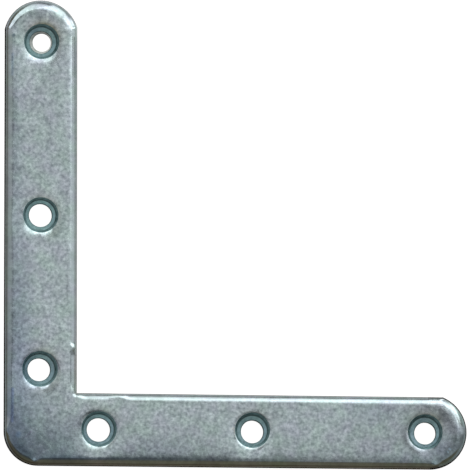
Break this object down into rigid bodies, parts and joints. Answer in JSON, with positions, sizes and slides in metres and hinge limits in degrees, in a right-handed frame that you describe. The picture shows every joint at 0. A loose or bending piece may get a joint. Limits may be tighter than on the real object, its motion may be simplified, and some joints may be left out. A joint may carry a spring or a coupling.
{
  "type": "corner brace bracket",
  "caption": "Flat L-shaped corner brace of zinc-plated sheet steel, with rounded arm ends, a soft pressed front edge and countersunk screw holes along both arms.",
  "frame": {"origin": "middle of the square that the two arms span, on the plane of the back face", "axes": "+Z out of the front, countersunk side; the arms run along +X and +Y from the outer corner at the low X, low Y end"},
  "size_m": [0.1, 0.1, 0.002],
  "materials": {
    "zinc_steel": "bright zinc plating on pressed sheet steel, lightly scuffed and mottled"
  },
  "bodies": {
    "root": {"brace_plate": "zinc_steel"}
  },
  "joints": []
}
